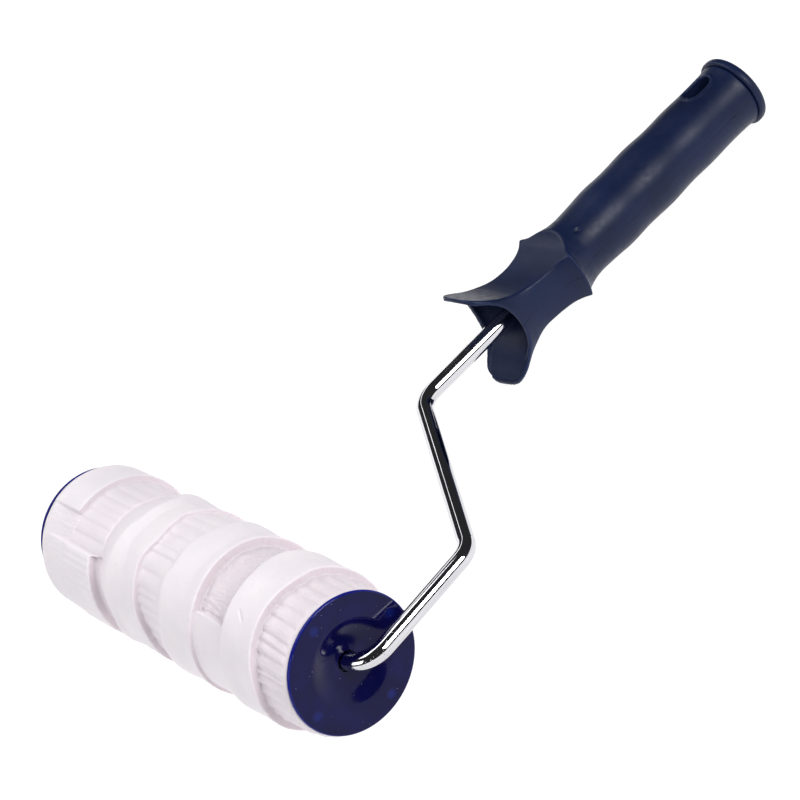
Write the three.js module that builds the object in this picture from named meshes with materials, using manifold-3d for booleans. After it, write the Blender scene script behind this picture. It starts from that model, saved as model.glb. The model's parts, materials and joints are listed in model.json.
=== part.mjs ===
// A textured pattern roller for paint and plaster: a hand grip with a thumb guard, a cranked
// chrome rod, and a moulded rubber sleeve on a core tube that turns on the rod between two end caps.
//
// Millimetres, +Z up. The roller's axis lies along X, the grip points along +Y, and the tool lies
// on its back: the sleeve and the butt of the grip rest on the ground plane, z = 0.
//
// The pieces are drawn in the tool's own frame first: X along the roller's axis from a datum just
// inside the near end cap's face, Y along the grip, Z square to the plane of the cranked rod.

import * as THREE from 'three';
import { mergeVertices } from 'three/addons/utils/BufferGeometryUtils.js';
import Module from 'manifold-3d';

const wasm = await Module();
wasm.setup();

// ---------- driving dimensions ----------

const nearFaceX = 1.4;           // outer faces of the two end caps
const farFaceX = -213;
const capRadius = 30.8;
const capFlange = 1.6;           // thickness of the cap's outer disc
const capDishRadius = 20;        // where the flat rim turns down into the dish
const capDishDepth = 4;
const capWall = 2;
const capSpigotLength = 20;

const fitGap = 0.3;              // clearance between pieces that touch

const coreOuterRadius = 26;
const coreInnerRadius = 23.5;
const sleeveInnerRadius = coreOuterRadius + fitGap;
const sleeveOffCentre = 0.8;     // the moulded sleeve is thicker on one side
const sleeveThickSide = 201;     // degrees, where it is thickest
const sleeveEndRadius = 30;      // the far end rounds down to this
const sleeveEndTaper = 8;        // over this length

const rodRadius = 4;
const nearCornerX = 9.66;        // first bend, outside the near cap
const armCornerX = 3.98;         // second bend, at the top of the short arm
const armCornerY = 67.5;
const gripAxisX = -97.8;         // the grip's axis, near the middle of the sleeve
const gripCornerY = 126.3;       // third bend, where the rod turns into the grip
const rodEndY = 290;
const wideBendRadius = 12;
const tightBendRadius = 15.5;

const hubOuterRadius = 8.5;
const hubLength = 22;
const hubHoleRadius = 4.6;
const bushOuterRadius = 6.1;
const bushInnerRadius = 4.2;
const washerRadius = 8;
const onRodRadius = rodRadius + fitGap;

const guardMouthY = 180.3;       // rim of the mouth, on the sides
const guardBackY = 217.2;        // sharp back edge of the guard
const guardWall = 2.2;
const guardEarWall = 2.8;        // the ears are thicker than the sides
const guardSkew = 0.1;           // the far side of the guard reaches further forward
const guardWebY = 203;           // floor of the mouth, where the rod goes in
const cavityStartY = 236;
const cavityRadius = 13.2;
const socketRadius = 6.6;
const gripEndY = 342.6;
const buttStartY = gripEndY + fitGap;
const buttEndY = 347.6;
const buttRadius = 18.6;

const hangSlotY = 327.7;
const hangSlotLength = 16;
const hangSlotWidth = 9;
const hangTunnelWall = 1.4;      // the slot runs through the hollow butt in a walled tunnel

const lieAngle = 2.76;           // degrees that the grip drops below level at rest

// ---------- small tools ----------

const radians = THREE.MathUtils.degToRad;

// A closed geometry with only its positions kept, and shared vertices merged.
function weld(geometry) {
  const bare = geometry.clone();
  bare.deleteAttribute('normal');
  bare.deleteAttribute('uv');
  return mergeVertices(bare, 1e-5);
}

function toSolid(geometry) {
  const welded = weld(geometry);
  return new wasm.Manifold(new wasm.Mesh({
    numProp: 3,
    vertProperties: new Float32Array(welded.attributes.position.array),
    triVerts: new Uint32Array(welded.index.array),
  }));
}

function toGeometry(solid) {
  const mesh = solid.getMesh();
  const geometry = new THREE.BufferGeometry();
  geometry.setAttribute('position', new THREE.BufferAttribute(new Float32Array(mesh.vertProperties), 3));
  geometry.setIndex(new THREE.BufferAttribute(new Uint32Array(mesh.triVerts), 1));
  geometry.computeVertexNormals();
  return geometry;
}

// Turns a closed outline of [along, radius] pairs about the Y axis. A positive area runs
// anticlockwise seen with the radius to the right, which puts the faces outwards.
function turned(outline, sides = 24) {
  const points = outline.map(([along, radius]) => new THREE.Vector2(radius, along));
  if (THREE.ShapeUtils.area(points) < 0) points.reverse();
  const touchesAxis = points.some((point) => point.x === 0);
  if (touchesAxis) {
    while (points[0].x !== 0 || points[points.length - 1].x !== 0) points.push(points.shift());
  } else {
    points.push(points[0].clone());
  }
  return new THREE.LatheGeometry(points, sides);
}

// The same about the X axis, with the first number of each pair along X.
function turnedAboutX(outline, sides = 24) {
  const mirrored = outline.map(([along, radius]) => [-along, radius]);
  return turned(mirrored, sides).rotateZ(Math.PI / 2);
}

function ring(start, end, innerRadius, outerRadius) {
  return [[start, innerRadius], [end, innerRadius], [end, outerRadius], [start, outerRadius]];
}

// A skin through rings of equal length, closed by a fan at each end.
function lofted(rings) {
  const count = rings[0].length;
  const positions = rings.flat().flatMap((point) => point.toArray());
  const index = [];
  for (let row = 0; row + 1 < rings.length; row += 1) {
    for (let side = 0; side < count; side += 1) {
      const here = row * count + side;
      const next = row * count + (side + 1) % count;
      index.push(here, next, here + count, next, next + count, here + count);
    }
  }
  const last = (rings.length - 1) * count;
  for (let side = 1; side + 1 < count; side += 1) {
    index.push(0, side + 1, side);
    index.push(last, last + side, last + side + 1);
  }
  const geometry = new THREE.BufferGeometry();
  geometry.setAttribute('position', new THREE.Float32BufferAttribute(positions, 3));
  geometry.setIndex(index);
  geometry.computeVertexNormals();
  return geometry;
}

// Smooth value between [place, value] pairs: it never overshoots, so outlines stay clean.
function smoothBetween(pairs, place) {
  const slopes = pairs.slice(1).map(([at, value], i) => (value - pairs[i][1]) / (at - pairs[i][0]));
  const tangent = (i) => {
    if (i === 0) return slopes[0];
    if (i === pairs.length - 1) return slopes[slopes.length - 1];
    const [before, after] = [slopes[i - 1], slopes[i]];
    return before * after <= 0 ? 0 : 2 * before * after / (before + after);
  };
  const last = pairs.length - 2;
  let i = 0;
  while (i < last && place > pairs[i + 1][0]) i += 1;
  const width = pairs[i + 1][0] - pairs[i][0];
  const t = THREE.MathUtils.clamp((place - pairs[i][0]) / width, 0, 1);
  const [a, b] = [pairs[i][1], pairs[i + 1][1]];
  const ease = t * t * (3 - 2 * t);
  const leaving = t * (1 - t) * (1 - t) * width * tangent(i);
  const arriving = t * t * (t - 1) * width * tangent(i + 1);
  return a + (b - a) * ease + leaving + arriving;
}

const tool = new THREE.Group();

function add(name, geometry, finish) {
  const mesh = new THREE.Mesh(geometry, new THREE.MeshStandardMaterial(finish));
  mesh.name = name;
  tool.add(mesh);
}

const chrome = { color: 0xdedfe3, roughness: 0.08, metalness: 1 };
const zincSteel = { color: 0xa9abad, roughness: 0.35, metalness: 1 };
const gripPlastic = { color: 0x1c2442, roughness: 0.42, metalness: 0 };
const capPlastic = { color: 0x15144a, roughness: 0.15, metalness: 0 };
const sleeveRubber = { color: 0xe9e3e9, roughness: 0.7, metalness: 0 };
const corePlastic = { color: 0x8c8f94, roughness: 0.6, metalness: 0 };
const bushNylon = { color: 0x18181a, roughness: 0.5, metalness: 0 };

// ---------- the cranked rod ----------

// The rod's centreline: straight runs joined by round bends. Its parameter counts sections, not
// length, so that sections are close together in the bends and far apart on the straights.
class CrankedPath extends THREE.Curve {
  constructor(corners, bendRadii, sectionsPerBend) {
    super();
    this.points = [corners[0]];
    bendRadii.forEach((radius, i) => {
      const [before, corner, after] = corners.slice(i, i + 3);
      const inward = before.clone().sub(corner).normalize();
      const outward = after.clone().sub(corner).normalize();
      const half = inward.angleTo(outward) / 2;
      const bisector = inward.clone().add(outward).normalize();
      const centre = corner.clone().addScaledVector(bisector, radius / Math.sin(half));
      const start = corner.clone().addScaledVector(inward, radius / Math.tan(half));
      const turn = Math.PI - 2 * half;
      const side = Math.sign(inward.clone().cross(outward).z);
      for (let section = 0; section <= sectionsPerBend; section += 1) {
        const spin = new THREE.Matrix4().makeRotationZ(-side * turn * section / sectionsPerBend);
        this.points.push(start.clone().sub(centre).applyMatrix4(spin).add(centre));
      }
    });
    this.points.push(corners[corners.length - 1]);
  }

  getPoint(t) {
    const place = t * (this.points.length - 1);
    const i = Math.min(Math.floor(place), this.points.length - 2);
    return this.points[i].clone().lerp(this.points[i + 1], place - i);
  }

  getUtoTmapping(u) {
    return u;
  }
}

function crankedRod() {
  const corners = [
    new THREE.Vector3(farFaceX + 1, 0, 0),
    new THREE.Vector3(nearCornerX, 0, 0),
    new THREE.Vector3(armCornerX, armCornerY, 0),
    new THREE.Vector3(gripAxisX, gripCornerY, 0),
    new THREE.Vector3(gripAxisX, rodEndY, 0),
  ];
  const path = new CrankedPath(corners, [wideBendRadius, wideBendRadius, tightBendRadius], 8);
  const section = new THREE.Shape().absarc(0, 0, rodRadius, 0, 2 * Math.PI);
  return new THREE.ExtrudeGeometry(section, {
    extrudePath: path,
    steps: path.points.length - 1,
    curveSegments: 8,
  });
}

add('frame_rod', crankedRod(), chrome);

// ---------- what holds the roller on the rod ----------

// Inside the far end: a collar pressed on the rod and a washer. Outside: a washer and a push nut.
const farHubInnerX = farFaceX + hubLength;
const farHubOuterX = farFaceX + capDishDepth;

const innerWasherX = farHubInnerX + 0.4;
const innerWasherThickness = 1.3;
add('inner_thrust_washer',
  turnedAboutX(ring(innerWasherX, innerWasherX + innerWasherThickness, onRodRadius, washerRadius)),
  zincSteel);

const collarX = innerWasherX + innerWasherThickness + fitGap;
const collarLength = 3.6;
const collarRadius = 7;
add('stop_collar', turnedAboutX([
  [collarX, onRodRadius],
  [collarX + collarLength, onRodRadius],
  [collarX + collarLength, collarRadius - 0.6],
  [collarX + collarLength - 0.6, collarRadius],
  [collarX, collarRadius],
]), zincSteel);

const outerWasherX = farHubOuterX - 0.4;
const outerWasherThickness = 0.8;
add('outer_thrust_washer',
  turnedAboutX(ring(outerWasherX - outerWasherThickness, outerWasherX, onRodRadius, washerRadius)),
  zincSteel);

const pushNutX = outerWasherX - outerWasherThickness - fitGap;
add('push_nut', turnedAboutX([
  [farFaceX + 0.7, 0],
  [farFaceX + 0.7, onRodRadius],
  [pushNutX, onRodRadius],
  [pushNutX, 7],
  [pushNutX - 0.6, 7],
  [pushNutX - 0.9, 5.6],
  [farFaceX + 0.8, 5.1],
  [farFaceX + 0.3, 3.6],
  [farFaceX + 0.1, 0],
]), zincSteel);

// ---------- end caps, bushes and core tube ----------

// The cap's outline is drawn by depth below its outer face: a flat rim, a round dish that falls to
// the hub, a spigot that plugs the core tube, and a hub that holds the bush.
function capOutline() {
  const spigotRadius = coreInnerRadius - fitGap;
  const dishSteps = 5;
  const dish = [];
  for (let i = 0; i <= dishSteps; i += 1) {
    const t = i / dishSteps;
    const radius = capDishRadius + (hubOuterRadius - 0.8 - capDishRadius) * t;
    dish.push([capDishDepth * Math.sin(t * Math.PI / 2) ** 1.4, radius]);
  }
  return [
    [capDishDepth, hubHoleRadius],
    ...dish.slice().reverse(),
    [0, capRadius - 0.9],
    [0.25, capRadius - 0.25],
    [0.9, capRadius],
    [capFlange - 0.3, capRadius],
    [capFlange, capRadius - 0.3],
    [capFlange, spigotRadius],
    [capSpigotLength, spigotRadius],
    [capSpigotLength, spigotRadius - capWall],
    [capFlange + 0.2, spigotRadius - capWall],
    [capDishDepth + capWall, hubOuterRadius + 4],
    [capDishDepth + capWall, hubOuterRadius],
    [hubLength, hubOuterRadius],
    [hubLength, bushOuterRadius + fitGap],
    [capDishDepth + capWall, bushOuterRadius + fitGap],
    [capDishDepth + capWall, hubHoleRadius],
  ];
}

const bushStart = capDishDepth + capWall + fitGap;
const bushEnd = hubLength - fitGap;
const bushOutline = ring(bushStart, bushEnd, bushInnerRadius, bushOuterRadius);

const capSides = 40;

// Depth runs along -X from the near face and along +X from the far one.
const fromNearFace = (outline) => outline.map(([depth, radius]) => [nearFaceX - depth, radius]);
const fromFarFace = (outline) => outline.map(([depth, radius]) => [farFaceX + depth, radius]);

add('near_end_cap', turnedAboutX(fromNearFace(capOutline()), capSides), capPlastic);
add('far_end_cap', turnedAboutX(fromFarFace(capOutline()), capSides), capPlastic);
add('near_bush', turnedAboutX(fromNearFace(bushOutline)), bushNylon);
add('far_bush', turnedAboutX(fromFarFace(bushOutline)), bushNylon);

const sleeveNearX = nearFaceX - capFlange - fitGap;
const sleeveFarX = farFaceX + capFlange + fitGap;
add('core_tube',
  turnedAboutX(ring(sleeveFarX, sleeveNearX, coreInnerRadius, coreOuterRadius), capSides), corePlastic);

// ---------- the textured sleeve ----------

// The relief is ten bands that run round the sleeve, each with its own height. A band's height
// and its right-hand edge change in steps round the sleeve: [angle in degrees, value] says the
// value from that angle on. Angles run from the grip's side (+Y) over the top (+Z).
const bands = [
  { right: [[0, -184]], height: [[0, 35], [105, 33.6], [215, 34.8], [300, 33.4], [330, 35]] },
  { right: [[0, -156], [130, -164], [245, -155]], height: [[0, 31.8], [130, 35.2], [245, 32.2]] },
  { right: [[0, -146]], height: [[0, 33], [60, 31.4], [130, 30.8], [200, 33.6], [270, 32.6]] },
  { right: [[0, -134]], height: [[0, 31.4], [60, 34], [215, 33], [300, 34.4]] },
  { right: [[0, -121]], height: [[0, 33.6], [60, 35], [230, 34.4], [320, 35]] },
  { right: [[0, -97]], height: [[0, 33.2], [160, 32.6], [235, 35], [315, 32.8]] },
  { right: [[0, -72.5]], height: [[0, 35], [250, 33], [310, 35]] },
  { right: [[0, -47.5]], height: [[0, 30], [40, 28.2], [128, 33.4], [240, 29], [330, 34]] },
  { right: [[0, -22]], height: [[0, 35], [220, 34.6], [290, 35]] },
  { right: [[0, sleeveNearX]], height: [[0, 30.4], [200, 31], [285, 34.4], [345, 30.4]] },
];

function stepAt(steps, angle) {
  return steps.filter(([from]) => from <= angle).pop()[1];
}

// Stations along the sleeve at one angle: [x, radius] at the left and right edge of each band.
function reliefAt(angle) {
  const offCentre = sleeveOffCentre * Math.cos(radians(angle - sleeveThickSide));
  const cliff = 0.6;
  const stations = [[sleeveFarX, sleeveEndRadius]];
  let left = sleeveFarX + sleeveEndTaper;
  for (const band of bands) {
    const right = stepAt(band.right, angle);
    const radius = stepAt(band.height, angle) + offCentre;
    stations.push([left, radius], [right - (band === bands.at(-1) ? 0 : cliff), radius]);
    left = right;
  }
  return stations;
}

// The outer relief and the plain bore, as one closed skin of rows round the axis.
function texturedSleeve() {
  const rows = 72;
  const positions = [];
  for (let row = 0; row < rows; row += 1) {
    const angle = 360 * row / rows;
    const [sine, cosine] = [Math.sin(radians(angle)), Math.cos(radians(angle))];
    const stations = reliefAt(angle);
    stations.push([sleeveNearX, sleeveInnerRadius], [sleeveFarX, sleeveInnerRadius]);
    for (const [x, radius] of stations) positions.push(x, radius * cosine, radius * sine);
  }
  const columns = bands.length * 2 + 3;
  const index = [];
  for (let row = 0; row < rows; row += 1) {
    for (let column = 0; column < columns; column += 1) {
      const here = row * columns + column;
      const right = row * columns + (column + 1) % columns;
      const up = (row + 1) % rows * columns + column;
      const upRight = (row + 1) % rows * columns + (column + 1) % columns;
      index.push(here, up, right, right, up, upRight);
    }
  }
  const geometry = new THREE.BufferGeometry();
  geometry.setAttribute('position', new THREE.Float32BufferAttribute(positions, 3));
  geometry.setIndex(index);
  geometry.computeVertexNormals();
  return geometry;
}

add('texture_sleeve', texturedSleeve(), sleeveRubber);

// ---------- the hand grip ----------

// Half width of the grip across the flat of the tool, by distance along the tool.
const gripHalfWidth = [
  [164, 16.4], [171, 16.8], [180, 17.1], [186, 16], [192, 15], [198, 14.6], [203, 14.8],
  [209, 16], [213, 17.6], [217.2, 21.2],
  [219.5, 19.2], [222, 17.9], [225, 17], [229, 16.2], [234, 15.9], [242, 16.2], [254, 16.9],
  [266, 16.5], [282, 17], [298, 16.4], [311, 16.7], [326, 16.4], [337, 16.6], [342.6, 17.2],
];

// Half width at the sharp crease where the flank meets the thumb scoop, and the scoop's height
// above the tool's plane there. The ears round off to nothing at their tips.
const creaseHalfWidth = [
  [165.8, 0], [166.3, 5.2], [167.3, 8.8], [169, 11.3], [172, 12.9], [175, 13.5], [185, 13.4],
  [190, 12.8], [194, 12.5], [199, 12.8], [203, 13.1], [209, 14], [213, 15.4], [217.2, 18.4],
];
const scoopHeight = [
  [160, 31], [165.8, 26.9], [167, 26], [169, 24.4], [172, 22.1], [176, 19.1], [179.4, 16.7],
  [182, 15.2], [187, 12.9], [192, 11.5], [196, 11], [201, 10.8], [207, 11.1], [213, 11.9],
  [217.2, 12.7], [221, 14.4], [225, 17.6], [228, 22], [231, 30],
];

// The guard stands slightly off the barrel's axis, towards the far end of the roller.
const guardShift = [[164, -2.2], [182, -2.2], [205, 0], [206, 0]];

// Half height of the flank's ellipse: the ellipse passes through the crease.
function flankHalfHeight(y, halfWidth) {
  if (y >= guardBackY) return halfWidth;
  const across = smoothBetween(creaseHalfWidth, y) / halfWidth;
  return smoothBetween(scoopHeight, y) / Math.sqrt(1 - across * across);
}

function gripRings(stations, inset) {
  const sides = 32;
  return stations.map((y) => {
    const halfWidth = smoothBetween(gripHalfWidth, y);
    const halfHeight = flankHalfHeight(y, halfWidth);
    const points = [];
    for (let side = 0; side < sides; side += 1) {
      const angle = 2 * Math.PI * side / sides;
      points.push(new THREE.Vector3(
        smoothBetween(guardShift, y) + (halfWidth - inset) * Math.cos(angle),
        y, -(halfHeight - inset) * Math.sin(angle)));
    }
    return points;
  });
}

// A slab as wide as the guard, between a top line and its mirror image, for places from front
// to back. The front edge is given as [place, height] pairs from the tip of the ear inwards.
function scoopSlab(stations, inset, frontEdge) {
  const upper = stations.map((y) => [y, smoothBetween(scoopHeight, y) - inset]);
  const lower = upper.map(([y, z]) => [y, -z]).reverse();
  const front = [
    ...frontEdge.map(([y, z]) => [y, -z]),
    ...frontEdge.slice(0, -1).reverse(),
  ];
  const outline = new THREE.Shape([...upper, ...lower, ...front].map((p) => new THREE.Vector2(...p)));
  const slab = new THREE.ExtrudeGeometry(outline, { depth: 60, bevelEnabled: false });
  // The outline's own axes are Y and Z, and the slab's depth runs along X with the guard's skew.
  slab.translate(0, 0, -30);
  slab.applyMatrix4(new THREE.Matrix4().makeBasis(
    new THREE.Vector3(0, 1, 0), new THREE.Vector3(0, 0, 1), new THREE.Vector3(1, guardSkew, 0)));
  return slab;
}

// The hanging slot as a solid that runs right through, larger all round by the clearance.
function hangSlot(clearance) {
  const radius = hangSlotWidth / 2 + clearance;
  const reach = (hangSlotLength - hangSlotWidth) / 2;
  const outline = new THREE.Shape();
  outline.absarc(0, reach, radius, 0, Math.PI);
  outline.absarc(0, -reach, radius, Math.PI, 2 * Math.PI);
  return new THREE.ExtrudeGeometry(outline, { depth: 60, bevelEnabled: false, curveSegments: 10 })
    .translate(gripAxisX, hangSlotY, -30);
}

function onGripAxis(geometry) {
  return geometry.translate(gripAxisX, 0, 0);
}

function handGrip() {
  const guardStations = [
    165.85, 166.3, 167.1, 168.2, 170, 172.5, 176, 180, 185, 190, 196, 203, 209, 213, guardBackY,
  ];
  const barrelStations = [
    219, 221.5, 225, 229, 235, 242, 254, 266, 282, 298, 311, 326, 337, gripEndY,
  ];
  const scoopStations = [
    160, 165.8, 167, 169, 172, 176, 180, 184, 188, 193, 200, 207, 213, guardBackY, 221, 224, 227, 231,
  ];
  const rim = [[164.6, 25.5], [167.4, 23], [171, 20.2], [174, 17.6], [176.6, 14.6], [178.6, 11],
    [179.8, 6], [guardMouthY, 0]];

  const skin = toSolid(onGripAxis(lofted(gripRings([...guardStations, ...barrelStations], 0))));
  const frontSlab = toSolid(onGripAxis(scoopSlab(scoopStations, 0, rim)));
  const backBlock = toSolid(new THREE.BoxGeometry(60, 130, 60).translate(gripAxisX, 231 + 65, 0));
  const outside = skin.intersect(frontSlab.add(backBlock));

  const mouthStations = [158, 175, 180, 185, 191, 197, guardWebY];
  const mouthRings = gripRings(mouthStations.map((y) => Math.max(y, 175)), guardWall)
    .map((points, i) => points.map((point) => point.setY(mouthStations[i])));
  const mouthSkin = toSolid(onGripAxis(lofted(mouthRings)));
  const insideStations = [158, 165.8, 169, 172, 176, 180, 185, 191, guardWebY];
  const insideSlab = toSolid(onGripAxis(scoopSlab(insideStations, guardEarWall, [[150, 20], [150, 0]])));
  const mouth = mouthSkin.intersect(insideSlab);

  const bore = toSolid(onGripAxis(turned([
    [guardWebY - 1, 0], [guardWebY - 1, onRodRadius], [rodEndY + 1, onRodRadius], [rodEndY + 1, 0],
  ], 24)));
  const cavity = toSolid(onGripAxis(turned([
    [rodEndY + 3, 0], [rodEndY + 3, socketRadius], [cavityStartY, socketRadius],
    [cavityStartY, cavityRadius], [gripEndY + 1, cavityRadius], [gripEndY + 1, 0],
  ], 36)));
  const hollow = cavity.subtract(toSolid(hangSlot(hangTunnelWall)));
  const slot = toSolid(hangSlot(0));
  return toGeometry(outside.subtract(mouth).subtract(bore).subtract(hollow).subtract(slot));
}

add('handle_grip', handGrip(), gripPlastic);

// The plug that closes the butt: a rounded flange, and a tube inside the grip that is cut away
// round the hanging slot's tunnel.
function buttPlug() {
  const tubeOuter = cavityRadius - fitGap;
  const tubeInner = tubeOuter - 2;
  const tubeStartY = 320;
  const body = toSolid(onGripAxis(turned([
    [buttStartY + 2, 0],
    [buttStartY + 2, tubeInner],
    [tubeStartY, tubeInner],
    [tubeStartY, tubeOuter],
    [buttStartY, tubeOuter],
    [buttStartY, buttRadius - 1],
    [buttStartY + 0.6, buttRadius - 0.2],
    [buttStartY + 1.6, buttRadius],
    [buttEndY - 2.2, buttRadius],
    [buttEndY - 1, buttRadius - 0.5],
    [buttEndY - 0.3, buttRadius - 1.5],
    [buttEndY, buttRadius - 2.8],
    [buttEndY, 0],
  ], 32)));
  return toGeometry(body.subtract(toSolid(hangSlot(hangTunnelWall + 2 * fitGap))));
}

add('handle_end_plug', buttPlug(), gripPlastic);

// ---------- the tool at rest on the ground ----------

const patternRoller = new THREE.Group();
tool.rotation.x = -radians(lieAngle);
patternRoller.add(tool);

// The origin is under the middle of the tool's box, on the ground.
const reach = new THREE.Box3().setFromObject(patternRoller, true);
const middle = reach.getCenter(new THREE.Vector3());
tool.position.set(-middle.x, -middle.y, -reach.min.z);

export default patternRoller;
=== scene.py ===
"""The looks of a textured pattern roller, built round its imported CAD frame.

Every piece is drawn in millimetres in the tool's own frame: X along the roller's axis from a datum
just inside the near end cap's face, Y along the grip, Z square to the plane of the cranked rod.
piece() places it in the row frame, in metres. Angles round the roller run from +Y over +Z.
"""

import json
import math

import bpy
import numpy as np
from mathutils import Matrix, Vector


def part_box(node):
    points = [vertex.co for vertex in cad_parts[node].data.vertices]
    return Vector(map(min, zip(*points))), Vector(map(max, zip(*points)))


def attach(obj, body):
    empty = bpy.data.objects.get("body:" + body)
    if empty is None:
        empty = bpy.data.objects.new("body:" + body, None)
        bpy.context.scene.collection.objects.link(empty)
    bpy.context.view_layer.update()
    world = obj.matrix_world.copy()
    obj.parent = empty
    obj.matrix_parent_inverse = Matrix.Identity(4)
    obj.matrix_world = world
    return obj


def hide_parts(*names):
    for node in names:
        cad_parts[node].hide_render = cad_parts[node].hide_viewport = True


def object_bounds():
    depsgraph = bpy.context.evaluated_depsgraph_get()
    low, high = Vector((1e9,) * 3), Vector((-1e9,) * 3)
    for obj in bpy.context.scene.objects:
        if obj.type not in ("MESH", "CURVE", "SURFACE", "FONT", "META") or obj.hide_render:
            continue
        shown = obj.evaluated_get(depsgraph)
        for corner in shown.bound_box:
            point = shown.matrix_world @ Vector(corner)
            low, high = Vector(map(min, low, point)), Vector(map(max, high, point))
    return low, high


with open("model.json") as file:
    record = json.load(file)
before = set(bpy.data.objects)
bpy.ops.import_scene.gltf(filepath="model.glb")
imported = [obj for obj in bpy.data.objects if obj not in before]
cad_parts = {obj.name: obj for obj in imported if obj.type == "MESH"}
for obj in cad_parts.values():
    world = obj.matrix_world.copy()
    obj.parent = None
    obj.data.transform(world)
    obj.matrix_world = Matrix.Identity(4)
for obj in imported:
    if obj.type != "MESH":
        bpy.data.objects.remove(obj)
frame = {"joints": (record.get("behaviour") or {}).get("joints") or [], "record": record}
cad_low, cad_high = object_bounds()

# ---------- driving dimensions, in millimetres ----------

MM = 0.001

NEAR_FACE_X = 1.4
FAR_FACE_X = -213.0
CAP_RADIUS = 30.8
CAP_FLANGE = 1.6
DISH_RADIUS = 20.0
DISH_DEPTH = 4.0
CAP_WALL = 2.0
SPIGOT_LENGTH = 20.0
FIT_GAP = 0.3
CORE_OUTER = 26.0
CORE_INNER = 23.5
BORE_RADIUS = CORE_OUTER + FIT_GAP
OFF_CENTRE = 0.9
THICK_SIDE = 201.0
SLEEVE_END_RADIUS = 30.0
SLEEVE_END_TAPER = 8.0
SLEEVE_NEAR_RADIUS = 28.5
SKIN_RADIUS = 35
SEAM_ANGLE = 47

ROD_RADIUS = 4.0
GRIP_X = -97.8
ROD_END_Y = 290.0
ROD_CORNERS = [(FAR_FACE_X + 1, 0.0), (9.66, 0.0), (3.98, 67.5), (GRIP_X, 126.3), (GRIP_X, ROD_END_Y)]
BEND_RADII = [12.0, 12.0, 15.5]

HUB_OUTER = 8.5
HUB_LENGTH = 22.0
HUB_HOLE = 4.6
BUSH_OUTER = 6.1
BUSH_INNER = 4.2
WASHER_RADIUS = 8.0
WASHER_PLAY = 0.4
INNER_WASHER_THICKNESS = 1.3
OUTER_WASHER_THICKNESS = 0.8
COLLAR_RADIUS = 7.0
COLLAR_LENGTH = 3.6
NUT_RADIUS = 7.0
ON_ROD = ROD_RADIUS + FIT_GAP

GUARD_BACK_Y = 217.2
GUARD_WALL = 2.2
EAR_WALL = 2.8
GUARD_SKEW = 0.1
GUARD_WEB_Y = 203.0
MOUTH_START_Y = 175.0
SCOOP_END_Y = 231
CAVITY_START_Y = 236.0
CAVITY_RADIUS = 13.2
GRIP_END_Y = 342.6
BUTT_START_Y = GRIP_END_Y + FIT_GAP
BUTT_END_Y = 347.6
BUTT_RADIUS = 18.6
PLUG_TUBE_START_Y = 320
PLUG_WALL = 2
SLOT_Y = 327.7
SLOT_LENGTH = 16.0
SLOT_WIDTH = 9.0
TUNNEL_WALL = 1.4

FLOOR_DROP = 0.8

NEAR_X = NEAR_FACE_X - CAP_FLANGE - FIT_GAP
FAR_X = FAR_FACE_X + CAP_FLANGE + FIT_GAP

# ---------- from the tool's frame to the row frame ----------

mounts = {mount["name"]: mount for mount in frame["record"]["mounts"]}
along_tool = Vector(mounts["butt_face"]["axis"]).normalized()
across_tool = Vector((1, 0, 0))
above_tool = across_tool.cross(along_tool)
turn = np.array(Matrix((across_tool, along_tool, above_tool)).transposed())
hinge = frame["joints"][0]["pos_m"]
origin = np.array([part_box("near_end_cap")[1].x - NEAR_FACE_X * MM, hinge[1], hinge[2]])


def to_row(points):
    """Points in the tool's frame, in millimetres, as points in the row frame, in metres."""
    return np.asarray(points, float) * MM @ turn.T + origin


# ---------- small tools ----------


def linear(red, green, blue):
    """A screen colour, 0 to 255, as the linear colour that a shader takes."""
    share = np.array([red, green, blue]) / 255
    return tuple(np.where(share < 0.04045, share / 12.92, ((share + 0.055) / 1.055) ** 2.4))


def smooth_curve(pairs):
    """A function of place through [place, value] pairs, which never overshoots them."""
    at, value = np.array(pairs, float).T
    width = np.diff(at)
    slope = np.diff(value) / width
    before, after = slope[:-1], slope[1:]
    same_way = before * after > 0
    tangent = np.concatenate([slope[:1], np.zeros(len(before)), slope[-1:]])
    tangent[1:-1][same_way] = (2 * before * after)[same_way] / (before + after)[same_way]

    def curve(place):
        i = np.clip(np.searchsorted(at, place) - 1, 0, len(width) - 1)
        t = np.clip((place - at[i]) / width[i], 0, 1)
        bend = t * (1 - t) * width[i]
        ease = value[i] + (value[i + 1] - value[i]) * t * t * (3 - 2 * t)
        return ease + bend * ((1 - t) * tangent[i] - t * tangent[i + 1])

    return curve


def noise(points, size, seed):
    """Smooth seeded heights from -1 to 1, with features of about that size."""
    lattice = np.random.default_rng(seed).uniform(-1, 1, (32, 32, 32))
    place = np.asarray(points) / size
    corner = np.floor(place).astype(int)
    t = place - corner
    t = t * t * (3 - 2 * t)
    total = np.zeros(place.shape[:-1])
    for dx in (0, 1):
        for dy in (0, 1):
            for dz in (0, 1):
                step = np.array([dx, dy, dz])
                weight = np.prod(np.where(step == 1, t, 1 - t), axis=-1)
                x, y, z = np.moveaxis((corner + step) % 32, -1, 0)
                total += weight * lattice[x, y, z]
    return total


def piece(name, points, faces, finish, body, slot, stands_for=(), attributes=None, crisp=None):
    """A mesh piece from tool points, placed, finished and riding on its body."""
    mesh = bpy.data.meshes.new(name)
    mesh.from_pydata(to_row(points).tolist(), [], [list(map(int, face)) for face in faces])
    mesh.polygons.foreach_set("use_smooth", [True] * len(mesh.polygons))
    for label, values in (attributes or {}).items():
        layer = mesh.attributes.new(label, "FLOAT", "POINT")
        layer.data.foreach_set("value", np.asarray(values, np.float32).ravel())
    if crisp is not None:
        mesh.set_sharp_from_angle(angle=math.radians(crisp))
    mesh.materials.append(finish)
    thing = bpy.data.objects.new(name, mesh)
    bpy.context.scene.collection.objects.link(thing)
    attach(thing, body)
    if stands_for:
        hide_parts(*stands_for)
    return thing


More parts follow.
